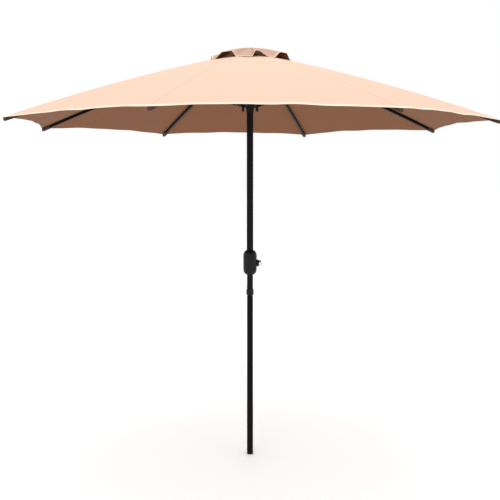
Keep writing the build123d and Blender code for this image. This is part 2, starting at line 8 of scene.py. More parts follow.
import bpy
import bmesh
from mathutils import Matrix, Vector

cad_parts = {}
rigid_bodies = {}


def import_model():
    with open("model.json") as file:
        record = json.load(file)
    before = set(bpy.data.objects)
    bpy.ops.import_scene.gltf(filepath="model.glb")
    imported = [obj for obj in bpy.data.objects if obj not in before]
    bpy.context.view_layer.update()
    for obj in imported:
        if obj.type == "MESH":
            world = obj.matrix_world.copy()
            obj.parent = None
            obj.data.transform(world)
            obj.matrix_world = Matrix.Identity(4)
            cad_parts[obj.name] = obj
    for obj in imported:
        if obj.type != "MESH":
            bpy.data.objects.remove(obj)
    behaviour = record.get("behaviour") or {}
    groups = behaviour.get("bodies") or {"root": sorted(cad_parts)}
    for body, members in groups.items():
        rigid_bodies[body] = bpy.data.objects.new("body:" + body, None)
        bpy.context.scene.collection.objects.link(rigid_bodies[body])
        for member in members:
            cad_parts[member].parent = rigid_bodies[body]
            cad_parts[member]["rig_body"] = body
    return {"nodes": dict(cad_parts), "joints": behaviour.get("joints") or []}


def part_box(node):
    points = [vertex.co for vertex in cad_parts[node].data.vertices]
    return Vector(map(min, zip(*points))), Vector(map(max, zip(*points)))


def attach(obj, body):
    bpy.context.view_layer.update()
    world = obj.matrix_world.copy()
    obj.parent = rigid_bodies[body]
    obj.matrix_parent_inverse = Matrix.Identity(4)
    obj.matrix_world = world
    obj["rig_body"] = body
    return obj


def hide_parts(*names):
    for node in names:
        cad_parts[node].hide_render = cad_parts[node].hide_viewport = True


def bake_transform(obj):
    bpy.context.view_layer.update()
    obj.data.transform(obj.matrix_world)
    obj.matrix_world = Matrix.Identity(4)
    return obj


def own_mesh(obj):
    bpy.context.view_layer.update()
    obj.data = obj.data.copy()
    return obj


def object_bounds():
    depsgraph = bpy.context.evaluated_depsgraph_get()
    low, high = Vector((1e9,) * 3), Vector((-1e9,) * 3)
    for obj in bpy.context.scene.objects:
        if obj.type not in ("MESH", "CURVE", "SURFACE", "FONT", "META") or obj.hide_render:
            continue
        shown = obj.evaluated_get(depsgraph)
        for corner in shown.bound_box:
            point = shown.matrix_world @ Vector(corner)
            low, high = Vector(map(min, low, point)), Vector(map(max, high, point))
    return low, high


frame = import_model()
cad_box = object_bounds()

# ---------------------------------------------------------------- sizes
RIBS = 8
FIRST_RIB = radians(22.5)       # azimuth of rib 1
STEP = 2 * pi / RIBS
HALF_STEP = STEP / 2
CLOTH = 0.0009                  # thickness of the cloth
CLOTH_ARC_RADIUS = 10.995       # of the cloth's line over a rib
HEM_SCALLOP = 0.038             # depth of the hem's curve between two corners
PANEL_SAG = 0.0005              # cloth between two ribs, below the straight line
SAG_WAVE = 0.62                 # share of a half wave that the sag follows along a rib
VENT_RADIUS = 0.241             # of the vent's corners
CROWN_RADIUS = 0.045            # of the vent's part that stays on the pole
RING_RADIUS = 0.100             # of the vent's ring, between the crown and the skirts
TOP_HOLE_RADIUS = 0.150

PIVOTS = {j["child"]: Vector(j["pos_m"]) for j in frame["joints"] if "pos_m" in j}
APEX_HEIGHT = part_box("vent_cap")[1].z
panel_low, panel_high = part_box("canopy_panel_1")
CORNER_HEIGHT = panel_low.z
CORNER_RADIUS = cad_box[1][0] / cos(FIRST_RIB)
TOP_HOLE_HEIGHT = panel_high.z - 0.0012     # of the cloth's underside

SHARP = radians(35)             # edges over this angle stay sharp
BEVEL_ANGLE = radians(28)       # edges over this angle are rounded


# ---------------------------------------------------------------- mesh helpers
def new_object(name, points, faces, materials, face_materials=None, sharp=SHARP):
    """Mesh object from points and faces, smooth shaded with sharp edges kept."""
    mesh = bpy.data.meshes.new(name)
    mesh.from_pydata([tuple(p) for p in points], [], faces)
    for material in materials:
        mesh.materials.append(material)
    if face_materials:
        mesh.polygons.foreach_set("material_index", face_materials)
    work = bmesh.new()
    work.from_mesh(mesh)
    bmesh.ops.recalc_face_normals(work, faces=work.faces)
    work.to_mesh(mesh)
    work.free()
    mesh.polygons.foreach_set("use_smooth", [True] * len(mesh.polygons))
    mesh.set_sharp_from_angle(angle=sharp)
    mesh.update()
    obj = bpy.data.objects.new(name, mesh)
    bpy.context.scene.collection.objects.link(obj)
    return obj


def loft(name, rings, material, looped=False, sharp=SHARP):
    """Skin through rings of equal length, with flat ends or looped back to the first ring."""
    size = len(rings[0])
    points = [p for ring in rings for p in ring]
    faces = []
    for i in range(len(rings) - (0 if looped else 1)):
        one, two = i * size, (i + 1) % len(rings) * size
        for j in range(size):
            k = (j + 1) % size
            faces.append((one + j, one + k, two + k, two + j))
    if not looped:
        faces.append(tuple(range(size))[::-1])
        last = (len(rings) - 1) * size
        faces.append(tuple(last + j for j in range(size)))
    return new_object(name, points, faces, [material], sharp=sharp)


def turned(name, profile, origin, axis, material, segments, looped=False):
    """Solid of revolution: profile is (distance along the axis, radius), looped for a ring."""
    direction = Vector(axis).normalized()
    side = direction.orthogonal().normalized()
    other = direction.cross(side)
    rings = []
    for along, radius in profile:
        centre = Vector(origin) + direction * along
        rings.append([
            centre + side * radius * cos(2 * pi * j / segments)
            + other * radius * sin(2 * pi * j / segments)
            for j in range(segments)
        ])
    return loft(name, rings, material, looped=looped)


def carry(obj, body, node=None):
    """Let a piece move with a body, in place of a CAD node if given."""
    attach(obj, body)
    if node:
        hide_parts(node)


def softened(node, finish, width):
    """Copy of a CAD node with rounded edges, which stands for the node."""
    source = frame["nodes"][node]
    work = bmesh.new()
    work.from_mesh(source.data)
    bmesh.ops.remove_doubles(work, verts=work.verts, dist=1e-6)
    bmesh.ops.dissolve_limit(work, angle_limit=radians(0.5), verts=work.verts, edges=work.edges)
    mesh = bpy.data.meshes.new(node + "_finished")
    work.to_mesh(mesh)
    work.free()
    mesh.materials.append(MATERIALS[finish])
    mesh.polygons.foreach_set("material_index", [0] * len(mesh.polygons))
    mesh.polygons.foreach_set("use_smooth", [True] * len(mesh.polygons))
    obj = bpy.data.objects.new(node + "_finished", mesh)
    bpy.context.scene.collection.objects.link(obj)
    bevel = obj.modifiers.new("rounded edges", "BEVEL")
    bevel.width = width
    bevel.segments = 3
    bevel.limit_method = "ANGLE"
    bevel.angle_limit = BEVEL_ANGLE
    normals = obj.modifiers.new("even shading", "WEIGHTED_NORMAL")
    normals.keep_sharp = True
    carry(obj, source["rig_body"], node)


# ---------------------------------------------------------------- material helpers
class Nodes:
    """Short way to write a material's node tree."""

    def __init__(self, name):
        self.material = bpy.data.materials.new(name)
        self.material.use_nodes = True
        self.tree = self.material.node_tree
        self.shader = self.tree.nodes["Principled BSDF"]

    def add(self, kind, inputs=None, **settings):
        node = self.tree.nodes.new(kind)
        for key, value in settings.items():
            setattr(node, key, value)
        for key, value in (inputs or {}).items():
            self.plug(node, key, value)
        return node

    def plug(self, node, key, value):
        if isinstance(value, bpy.types.NodeSocket):
            self.tree.links.new(value, node.inputs[key])
        else:
            node.inputs[key].default_value = value

    def set(self, **values):
        for key, value in values.items():
            self.plug(self.shader, key.replace("_", " "), value)

    def place(self):
        return self.add("ShaderNodeTexCoord").outputs["Object"]

    def stretched(self, scale):
        node = self.add("ShaderNodeMapping", {"Vector": self.place(), "Scale": scale})
        return node.outputs["Vector"]

    def math(self, operation, one, two=0.0, clamp=False):
        node = self.add("ShaderNodeMath", {0: one, 1: two}, operation=operation, use_clamp=clamp)
        return node.outputs[0]

    def mix(self, factor, one, two):
        # the colour sockets of the mix node are 6 and 7, and its colour output is 2
        node = self.add("ShaderNodeMix", {0: factor}, data_type="RGBA")
        self.plug(node, 6, one)
        self.plug(node, 7, two)
        return node.outputs[2]

    def noise(self, coordinates, scale, detail, roughness=0.5):
        node = self.add("ShaderNodeTexNoise", {
            "Vector": coordinates, "Scale": scale, "Detail": detail, "Roughness": roughness})
        return node.outputs["Fac"]

    def span(self, value, low, high, to_low, to_high):
        node = self.add("ShaderNodeMapRange", {
            "Value": value, "From Min": low, "From Max": high,
            "To Min": to_low, "To Max": to_high})
        return node.outputs["Result"]

    def bump(self, height, strength, distance):
        node = self.add("ShaderNodeBump", {
            "Height": height, "Strength": strength, "Distance": distance})
        self.plug(self.shader, "Normal", node.outputs["Normal"])


def rgb(red, green, blue):
    return (red, green, blue, 1.0)


def scaled(colour, share):
    return rgb(*[c * share for c in colour[:3]])


THREAD_PITCH = 0.0011           # of the weave, a pair of threads


def cloth_material(name, light, dark, sheen):
    """Plain-weave polyester. The threads run along the panel, by its UV map in metres."""
    m = Nodes(name)
    uv = m.add("ShaderNodeUVMap", uv_map="cloth").outputs["UV"]
    parts = m.add("ShaderNodeSeparateXYZ", {"Vector": uv})
    turns = 2 * pi / THREAD_PITCH
    warp = m.math("SINE", m.math("MULTIPLY", parts.outputs["X"], turns))
    weft = m.math("SINE", m.math("MULTIPLY", parts.outputs["Y"], turns))
    weave = m.span(m.math("MULTIPLY", warp, weft), -1.0, 1.0, 0.0, 1.0)
    slub = m.noise(uv, scale=900.0, detail=2.0)
    drift = m.noise(uv, scale=2.2, detail=4.0, roughness=0.55)
    tone = m.math("ADD", m.math("MULTIPLY", drift, 0.65), m.math("MULTIPLY", slub, 0.2))
    tone = m.math("ADD", tone, m.math("MULTIPLY", weave, 0.15), clamp=True)
    m.set(Base_Color=m.mix(tone, dark, light), Roughness=0.86)
    m.set(Sheen_Weight=sheen, Sheen_Roughness=0.45, Sheen_Tint=light)
    relief = m.math("ADD", weave, m.math("MULTIPLY", slub, 0.6))
    m.bump(relief, strength=0.25, distance=0.0003)
    return m.material


def coated_metal(name, colour, roughness, specular):
    """Powder coat: fine orange peel, uneven gloss, edges a little lighter, partly from wear and
    partly as a painted highlight.
    """
    m = Nodes(name)
    place = m.place()
    peel = m.noise(place, scale=1400.0, detail=2.0)
    patches = m.noise(place, scale=14.0, detail=4.0, roughness=0.6)
    # edge wear and painted highlight: convex edges, found by their pointiness, are mixed towards
    # a lighter colour
    edge = m.add("ShaderNodeNewGeometry").outputs["Pointiness"]
    edge_wear_and_highlight = m.span(edge, 0.58, 0.72, 0.0, 0.25)
    wear_and_highlight_colour = rgb(*[c + 0.05 for c in colour[:3]])
    m.set(Base_Color=m.mix(edge_wear_and_highlight, colour, wear_and_highlight_colour), Specular_IOR_Level=specular)
    m.set(Roughness=m.span(patches, 0.3, 0.7, roughness - 0.06, roughness + 0.08))
    m.bump(peel, strength=0.12, distance=0.00015)
    return m.material


def moulded_plastic(name, colour, roughness, specular):
    """Injection-moulded plastic: fine spark texture, faint flow marks along the pole."""
    m = Nodes(name)
    flow = m.noise(m.stretched((1.0, 1.0, 0.15)), scale=90.0, detail=3.0)
    grain = m.noise(m.place(), scale=2600.0, detail=2.0)
    streaks = m.span(flow, 0.35, 0.75, 0.0, 0.5)
    m.set(Base_Color=m.mix(streaks, colour, scaled(colour, 1.6)), Specular_IOR_Level=specular)
    m.set(Roughness=m.span(flow, 0.3, 0.7, roughness - 0.05, roughness + 0.07))
    m.bump(grain, strength=0.08, distance=0.0001)
    return m.material


def bright_metal(name, colour, roughness):
    """Plated metal with faint smears and fine scratches."""
    m = Nodes(name)
    smears = m.noise(m.place(), scale=60.0, detail=4.0, roughness=0.65)
    scratches = m.noise(m.stretched((1.0, 12.0, 12.0)), scale=300.0, detail=2.0)
    smeared = m.span(smears, 0.35, 0.7, 0.0, 1.0)
    m.set(Base_Color=m.mix(smeared, colour, scaled(colour, 0.86)), Metallic=1.0)
    m.set(Roughness=m.span(smears, 0.3, 0.75, roughness, roughness + 0.12))
    m.bump(scratches, strength=0.04, distance=0.00005)
    return m.material


def glossy_insert(name, colour, roughness=0.25):
    """Smooth plastic insert with slight colour drift under a clear coat."""
    m = Nodes(name)
    drift = m.noise(m.place(), scale=120.0, detail=3.0)
    drifted = m.span(drift, 0.35, 0.7, 0.0, 1.0)
    m.set(Base_Color=m.mix(drifted, colour, scaled(colour, 0.82)))
    m.set(Roughness=roughness, Coat_Weight=0.4, Coat_Roughness=0.1)
    return m.material


# kind of material, then what its function takes after the name
RECIPES = {
    "cloth_top": (cloth_material, rgb(0.80, 0.555, 0.425), rgb(0.74, 0.50, 0.375), 0.12),
    # painted highlight: the hem is the canopy's own cloth, coloured lighter than the top to give
    # a light line along its edge
    "cloth_hem": (cloth_material, rgb(0.93, 0.75, 0.60), rgb(0.88, 0.69, 0.54), 0.15),
    # painted shade and painted highlight: the vent's hem is the canopy's cloth, darker than the
    # canopy's hem like the rest of the vent, and lighter than the vent's cloth to give a light
    # line along its fold
    "vent_hem": (cloth_material, rgb(0.72, 0.52, 0.40), rgb(0.66, 0.47, 0.36), 0.08),
    # painted shade: the vent cap is the canopy's own cloth, coloured darker and pinker to stand
    # in for the shade on its facets
    "cloth_vent": (cloth_material, rgb(0.58, 0.37, 0.27), rgb(0.52, 0.33, 0.24), 0.08),
    # painted shade: the underside is the same cloth as the top, coloured dark brown to stand in
    # for the shade under the canopy
    "cloth_under": (cloth_material, rgb(0.203, 0.073, 0.0215), rgb(0.168, 0.059, 0.0165), 0.03),
    "webbing": (cloth_material, rgb(0.060, 0.030, 0.018), rgb(0.040, 0.020, 0.013), 0.1),
    "frame_metal": (coated_metal, rgb(0.004, 0.003, 0.003), 0.45, 0.15),
    "pole_metal": (coated_metal, rgb(0.0015, 0.0015, 0.0022), 0.34, 0.09),
    "moulded_plastic": (moulded_plastic, rgb(0.0045, 0.0048, 0.0060), 0.34, 0.2),
    "nylon": (moulded_plastic, rgb(0.005, 0.005, 0.0055), 0.5, 0.25),
    "chrome": (bright_metal, rgb(0.86, 0.86, 0.87), 0.06),
    "steel": (bright_metal, rgb(0.52, 0.52, 0.54), 0.28),
    "badge": (glossy_insert, rgb(0.82, 0.62, 0.58)),
    "badge_red": (glossy_insert, rgb(0.72, 0.06, 0.04)),
    "badge_teal": (glossy_insert, rgb(0.05, 0.42, 0.40)),
    "arm_insert": (glossy_insert, rgb(0.66, 0.47, 0.47), 0.3),
}
MATERIALS = {name: recipe[0](name, *recipe[1:]) for name, recipe in RECIPES.items()}


# ---------------------------------------------------------------- cloth shapes
def arc_centre(first, last, radius):
    """Centre of the arc under two points, each (distance from the pole, height)."""
    run, rise = last[0] - first[0], last[1] - first[1]
    chord = hypot(run, rise)
    depth = sqrt(radius ** 2 - chord ** 2 / 4)
    middle = ((first[0] + last[0]) / 2, (first[1] + last[1]) / 2)
    return middle[0] + rise / chord * depth, middle[1] - run / chord * depth


CLOTH_CENTRE = arc_centre((TOP_HOLE_RADIUS, TOP_HOLE_HEIGHT), (CORNER_RADIUS, CORNER_HEIGHT),
                          CLOTH_ARC_RADIUS)


def cloth_line(radius):
    """Height of the canopy's underside over a rib."""
    reach = radius - CLOTH_CENTRE[0]
    return CLOTH_CENTRE[1] + sqrt(CLOTH_ARC_RADIUS ** 2 - reach ** 2)


def spoke(number):
    """Unit vectors at a rib: outwards, and sideways towards the next rib."""
    angle = FIRST_RIB + (number - 1) * STEP
    return Vector((cos(angle), sin(angle), 0)), Vector((-sin(angle), cos(angle), 0))


def spaced(count):
    return [i / count for i in range(count + 1)]


def bulge(share):
    """0 at both ends of a span and 1 in its middle."""
    return 4 * share * (1 - share)


def hem_reach(share):
    """Rib radius whose straight line to the next rib meets the scalloped hem at this share."""
    half_chord = CORNER_RADIUS * sin(HALF_STEP)
    hem_radius = (half_chord ** 2 + HEM_SCALLOP ** 2) / (2 * HEM_SCALLOP)
    centre = CORNER_RADIUS * cos(HALF_STEP) - HEM_SCALLOP + hem_radius
    across = sin(HALF_STEP) * (1 - 2 * share)
    along = cos(HALF_STEP)
    a = along ** 2 + across ** 2
    b = centre * along
    return (b - sqrt(b ** 2 - a * (centre ** 2 - hem_radius ** 2))) / a


FINE_RIPPLE, WIDE_RIPPLE, SLACK = 0.0011, 0.0016, 0.0022    # heights of the wrinkles
RIPPLE_START = 0.55             # reach from which the ripples grow towards the hem


def wrinkle(panel, share, reach):
    """Small unevenness of one panel: pulls towards its corners and slack near the hem."""
    outer = max(0.0, (reach - RIPPLE_START) / (1 - RIPPLE_START))
    phase = 1.7 * (panel % RIBS)
    ripple = (sin(9 * pi * share + phase) * FINE_RIPPLE
              + sin(5 * pi * share - 2 * phase) * WIDE_RIPPLE)
    slack = sin(3.1 * pi * reach + phase) * sin(2 * pi * share + 0.6 * phase) * SLACK
    return bulge(share) * (ripple * outer ** 2 + slack)


def canopy_point(panel, share, reach):
    """Point on the underside of the cloth between rib number panel and the next one.

    share runs from 0 at the rib to 1 at the next rib, reach from 0 at the top hole to 1 at
    the hem.
    """
    low, high = TOP_HOLE_RADIUS, hem_reach(share)
    radius = low + (high - low) * reach
    one = spoke(panel)[0] * radius
    two = spoke(panel + 1)[0] * radius
    point = one.lerp(two, share)
    full = sin(pi * min(1.0, radius / CORNER_RADIUS) * SAG_WAVE)
    point.z = cloth_line(radius) - PANEL_SAG * bulge(share) * full + wrinkle(panel, share, reach)
    return point


TOP, UNDER, HEM = 0, 1, 2       # order of a sheet's materials


def sector_sheet(name, number, shape, shares, reaches, thickness, materials, hem_rows=0):
    """Closed sheet of one rib's sector: half of the panel on each side of the rib.

    shape(panel, share, reach) gives the underside, thickness(reach) what lies on it.
    """
    columns = [(number - 1, 1 - s) for s in reversed(shares[1:])] + [(number, s) for s in shares]
    rows = len(reaches)
    width = len(columns)
    under, over, flat = [], [], []
    for reach in reaches:
        for panel, share in columns:
            point = shape(panel, share, reach)
            under.append(point)
            over.append(point + Vector((0, 0, thickness(reach))))
            side = share if panel == number else share - 1
            radial = hypot(point.x, point.y)
            flat.append((side * 2 * sin(HALF_STEP) * radial, radial))
    count = len(under)
    faces, kinds = [], []

    def quad(a, b, c, d, kind):
        faces.append((a, b, c, d))
        kinds.append(kind)

    for i in range(rows - 1):
        top_kind = HEM if i >= rows - 1 - hem_rows else TOP
        for j in range(width - 1):
            a = i * width + j
            quad(a, a + 1, a + width + 1, a + width, UNDER)
            quad(count + a, count + a + width, count + a + width + 1, count + a + 1, top_kind)
    for j in range(width - 1):
        last = (rows - 1) * width
        quad(j, count + j, count + j + 1, j + 1, TOP)
        quad(last + j, last + j + 1, count + last + j + 1, count + last + j, HEM)
    for i in range(rows - 1):
        a = i * width
        quad(a, a + width, count + a + width, count + a, TOP)
        b = a + width - 1
        quad(b, count + b, count + b + width, b + width, TOP)
    obj = new_object(name, under + over, faces, materials, kinds)
    layer = obj.data.uv_layers.new(name="cloth")
    for loop in obj.data.loops:
        layer.data[loop.index].uv = flat[loop.vertex_index % count]
    return obj


def plain_uv(obj):
    """UV map from the azimuth and the distance from the pole less the height, for the weave."""
    layer = obj.data.uv_layers.new(name="cloth")
    for loop in obj.data.loops:
        point = obj.data.vertices[loop.vertex_index].co
        layer.data[loop.index].uv = (atan2(point.y, point.x), hypot(point.x, point.y) - point.z)


HEM_WIDTH = 0.024
HEM_PROUD = 0.0008              # rise of the folded hem over the cloth
HEM_EDGE = 0.003                # width of the hem's rounded edge
STITCHES = (0.004, HEM_WIDTH - 0.003)       # distances of the stitch grooves from the hem
GROOVE = 0.0025                 # half width of a stitch groove


def hem_profile(distance):
    """Thickness of the cloth at a distance from the hem: folded hem with two stitch grooves."""
    if distance > HEM_WIDTH:
        return CLOTH
    groove = min(abs(distance - place) for place in STITCHES)
    edge = min(1.0, 0.55 + distance / HEM_EDGE)
    return CLOTH + HEM_PROUD * edge * min(1.0, 0.35 + groove / GROOVE)


def make_canopy():
    """The canopy, one sector for each rib, which moves with its rib."""
    shares = [s / 2 for s in spaced(20)]
    length = CORNER_RADIUS - TOP_HOLE_RADIUS
    # distances from the hem of the rows of points that shape the hem and its stitches
    marks = [HEM_WIDTH + 0.001, HEM_WIDTH, HEM_WIDTH - 0.0015, HEM_WIDTH - 0.003,
             HEM_WIDTH - 0.0045, 0.012, 0.0055, 0.004, 0.0025, 0.001, 0.0]
    plain = 1 - (HEM_WIDTH + 0.003) / length
    reaches = [s * plain for s in spaced(44)] + [1 - m / length for m in marks]
    cloths = [MATERIALS[n] for n in ("cloth_top", "cloth_under", "cloth_hem")]
    for number in range(1, RIBS + 1):
        body = f"rib_{number}"
        sheet = sector_sheet(f"canopy_{number}", number, canopy_point, shares, reaches,
                             lambda reach: hem_profile((1 - reach) * length), cloths,
                             hem_rows=len(marks) - 1)
        carry(sheet, body, f"canopy_panel_{number}")
        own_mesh(sheet)
        carry(rib_seam(number), body)
        carry(corner_pocket(number), body)


SEAM_HALF_WIDTH = 0.008
SEAM_BASE, SEAM_RISE = 0.0003, 0.0009       # of the seam's edge, and of its middle over that
# half of the seam's section: place across as a share, and rise as a share
SEAM_SECTION = [(0.0, 1.0), (0.25, 1.0), (0.62, 1.0), (0.7, 0.45), (0.78, 1.0), (0.97, 0.7),
                (1.0, 0.0)]


def rib_seam(number):
    """Felled seam over a rib: a low strip along the ridge, with a stitch groove on each side."""
    outward, sideways = spoke(number)
    section = [(-share, rise) for share, rise in SEAM_SECTION[:0:-1]] + SEAM_SECTION
    start, end = TOP_HOLE_RADIUS + 0.002, CORNER_RADIUS - 0.028
    probe = 0.001
    rings = []
    for along in spaced(48):
        radius = start + (end - start) * along
        slope = (cloth_line(radius) - cloth_line(radius + probe)) / probe
        taper = min(1.0, 6 * (1 - along) + 0.3)
        top, bottom = [], []
        for share, rise in section:
            side = share * SEAM_HALF_WIDTH * taper
            height = cloth_line(radius) - slope * tan(HALF_STEP) * abs(side) + CLOTH * 0.7
            base = outward * radius + sideways * side
            bottom.append(base + Vector((0, 0, height)))
            top.append(base + Vector((0, 0, height + SEAM_BASE + SEAM_RISE * rise)))
        rings.append(top + bottom[::-1])
    seam = loft(f"rib_seam_{number}", rings, MATERIALS["cloth_top"])
    plain_uv(seam)
    return seam


POCKET_LENGTH, POCKET_DEPTH = 0.061, 0.0215
POCKET_HALF_WIDTH, POCKET_TAPER = 0.0135, 0.003     # at the mouth, and lost by the closed end
POCKET_ROUND = 0.8              # share of the length from which the closed end is rounded
POCKET_SLOPE = 0.13             # fall of its top to each side


def squared(value):
    """Sine or cosine bent towards a rounded square."""
    return abs(value) ** 0.5 * (1 if value > 0 else -1)


def corner_pocket(number):
    """Sewn pocket in the canopy's corner that takes the end of the rib."""
    outward, sideways = spoke(number)
    segments = 24
    end = CORNER_RADIUS - 0.001
    rings = []
    for share in spaced(12):
        radius = end - POCKET_LENGTH * (1 - share)
        half_width, depth = POCKET_HALF_WIDTH - POCKET_TAPER * share, POCKET_DEPTH
        if share > POCKET_ROUND:
            past = (share - POCKET_ROUND) / (1 - POCKET_ROUND)
            shrink = sqrt(max(0.02, 1 - past ** 2))
            half_width *= shrink
            depth *= 0.35 + 0.65 * shrink
        middle = cloth_line(radius) + 0.0002 - depth / 2
        ring = []
        for j in range(segments):
            angle = 2 * pi * j / segments
            across = squared(cos(angle)) * half_width
            up = squared(sin(angle)) * depth / 2 - POCKET_SLOPE * abs(across)
            ring.append(outward * radius + sideways * across + Vector((0, 0, middle + up)))
        rings.append(ring)
    pocket = loft(f"corner_pocket_{number}", rings, MATERIALS["webbing"])
    plain_uv(pocket)
    return pocket


# ---------------------------------------------------------------- vent cap
# where the vent's hem opens along a panel: start, full height from, to, end, height in metres
VENT_OPENINGS = {
    1: (0.10, 0.40, 0.62, 0.95, 0.028), 2: (0.12, 0.52, 0.70, 0.95, 0.026),
    3: (0.08, 0.34, 0.52, 0.90, 0.030), 4: (0.06, 0.42, 0.60, 0.94, 0.027),
    5: (0.10, 0.44, 0.78, 0.99, 0.034), 6: (0.45, 0.57, 0.60, 0.98, 0.034),
    7: (0.17, 0.52, 0.78, 0.99, 0.036), 8: (0.06, 0.45, 0.60, 0.93, 0.028),
}
CORNER_LIFT = 0.0022            # vent's corner over the canopy's underside
VENT_CROWNING = 0.006           # rise of the vent's cloth halfway down
VENT_HEM_START, VENT_HEM_PROUD = 0.94, 0.0006       # reach of the hem's fold, and its rise
APEX_DROP = 0.0019              # apex of the vent's underside below the top


def smooth(value):
    value = max(0.0, min(1.0, value))
    return value * value * (3 - 2 * value)


def vent_lift(panel, share):
    start, first, last, end, height = VENT_OPENINGS[(panel - 1) % RIBS + 1]
    opening = smooth((share - start) / (first - start))
    closing = smooth((end - share) / (end - last))
    return height * opening * closing


def vent_point(panel, share, reach):
    """Underside of the vent cap between two ribs. reach runs from the apex to the hem."""
    one = spoke(panel)[0] * VENT_RADIUS
    two = spoke(panel + 1)[0] * VENT_RADIUS
    hem = one.lerp(two, share)
    hem.z = cloth_line(VENT_RADIUS) + CORNER_LIFT + vent_lift(panel, share)
    point = Vector((0, 0, APEX_HEIGHT - APEX_DROP)).lerp(hem, reach)
    point.z += VENT_CROWNING * sin(pi * reach) * (0.4 + 0.6 * bulge(share))
    return point


def vent_thickness(reach):
    return CLOTH + (VENT_HEM_PROUD if reach > VENT_HEM_START else 0.0)


def vent_crown(inner, materials):
    """Closed disc of the vent's middle, up to the reach where the rings begin."""
    around = [(n, s / 8) for n in range(1, RIBS + 1) for s in range(8)]
    reaches = [inner * s for s in spaced(6)[1:]]
    size = len(around)
    points, faces, kinds = [], [], []
    for layer in (0.0, CLOTH):
        points.append(Vector((0, 0, APEX_HEIGHT - APEX_DROP + layer)))
        for reach in reaches:
            points += [vent_point(n, s, reach) + Vector((0, 0, layer)) for n, s in around]
    layer_size = 1 + len(reaches) * size
    for base, kind in ((0, UNDER), (layer_size, TOP)):
        for j in range(size):
            k = (j + 1) % size
            faces.append((base, base + 1 + j, base + 1 + k))
            kinds.append(kind)
            for i in range(len(reaches) - 1):
                a, b = base + 1 + i * size, base + 1 + (i + 1) * size
                faces.append((a + j, b + j, b + k, a + k))
                kinds.append(kind)
    rim = 1 + (len(reaches) - 1) * size
    for j in range(size):
        k = (j + 1) % size
        faces.append((rim + j, layer_size + rim + j, layer_size + rim + k, rim + k))
        kinds.append(TOP)
    crown = new_object("vent_crown", points, faces, materials, kinds)
    plain_uv(crown)
    return crown


def make_vent():
    """Vent cap: crown on the hub's cap, a ring of eight pieces, and eight skirts that move with
    the ribs.
    """
    cloths = [MATERIALS[n] for n in ("cloth_vent", "cloth_under", "vent_hem")]
    shares = [s / 2 for s in spaced(14)]
    inner, middle = CROWN_RADIUS / VENT_RADIUS, RING_RADIUS / VENT_RADIUS
    ring_reaches = [inner + (middle - inner) * s for s in spaced(8)]
    skirt_reaches = [middle + (1 - middle) * s for s in spaced(20)]
    crown = vent_crown(inner, cloths)
    carry(crown, "pole", "vent_cap")
    for number in range(1, RIBS + 1):
        ring = sector_sheet(f"vent_ring_{number}", number, vent_point, shares, ring_reaches,
                            vent_thickness, cloths)
        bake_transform(ring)
        skirt = sector_sheet(f"vent_skirt_{number}", number, vent_point, shares, skirt_reaches,
                             vent_thickness, cloths, hem_rows=2)
        carry(skirt, f"rib_{number}")
        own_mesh(skirt)


# ---------------------------------------------------------------- hard parts
PAINTED = {
    "pole_metal": ["upper_pole", "middle_pole", "lower_pole"],
    "steel": ["snap_spring", "housing_screws", "brake_washers", "hub_ring", "runner_ring",
              "pulley_pin", "crank_shaft", "snap_button"],
    "nylon": ["crank_spool", "top_pulley", "top_cap"],
    "frame_metal": [f"{kind}_{n}" for kind in ("rib", "strut") for n in range(1, RIBS + 1)],
}
# finish, and width of the rounded edges
ROUNDED = {
    "housing_front": ("moulded_plastic", 0.0004), "housing_rear": ("moulded_plastic", 0.0004),
    "joint_collar": ("moulded_plastic", 0.0012), "pole_end_cap": ("nylon", 0.0008),
    "runner": ("nylon", 0.0012), "top_hub": ("nylon", 0.0012), "crank_arm": ("chrome", 0.0005),
}


def make_hard_parts():
    """Finishes of the CAD nodes: some as they are, and some with rounded edges."""
    for finish, nodes in PAINTED.items():
        for node in nodes:
            materials = frame["nodes"][node].data.materials
            materials.clear()
            materials.append(MATERIALS[finish])
    for node, (finish, width) in ROUNDED.items():
        softened(node, finish, width)
    for number in range(1, RIBS + 1):
        softened(f"rib_bracket_{number}", "frame_metal", 0.0004)


# ---------------------------------------------------------------- crank handle
# profiles: distance along the crank's axis, and radius over the badge's or the grip's own
HUB_RIM = [(-0.0004, 0.0004), (0.0004, 0.0003), (0.0010, 0.0007), (0.0012, 0.0012),
           (0.0009, 0.0018), (-0.0002, 0.0031), (-0.0006, 0.0032)]
GRIP_NECK = [(0.0, -0.0012), (0.0005, -0.0003), (0.0013, 0.0), (0.0036, 0.0),
             (0.0040, -0.0005), (0.0047, -0.0005), (0.0051, 0.0)]
GRIP_END = [(-0.0018, 0.0), (-0.0008, -0.0003), (-0.0001, -0.0011), (0.0, -0.0016),
            (-0.0002, -0.0019), (-0.0009, -0.0020)]
GRIP_FACE = [(-0.0011, -0.0022), (-0.0006, -0.0022), (-0.0003, -0.0026), (-0.0002, -0.0045),
             (-0.0004, -0.0050)]
FACE_CENTRE = (-0.0004, 0.0004)     # distance from the grip's end, and radius

# the two pockets of the arm, which narrow towards the grip, and the ribbed inserts in them
INSERT_FLOOR = 0.0031               # floor of a pocket below the arm's face
INSERT_START, INSERT_END = 0.0190, 0.0775       # distances from the crank's axis
INSERT_INNER = 0.0012               # inner edge, from the arm's middle line
INSERT_OUTER, INSERT_TAPER = 0.0088, 0.0598     # outer edge at the axis, and its slope
INSERT_PITCH = 0.0013
INSERT_WAVE = [(0.0, 0.0006), (0.2, 0.0010), (0.5, 0.0010), (0.7, 0.0006)]    # share, height


def shifted(profile, along, radius):
    return [(along + a, radius + r) for a, r in profile]


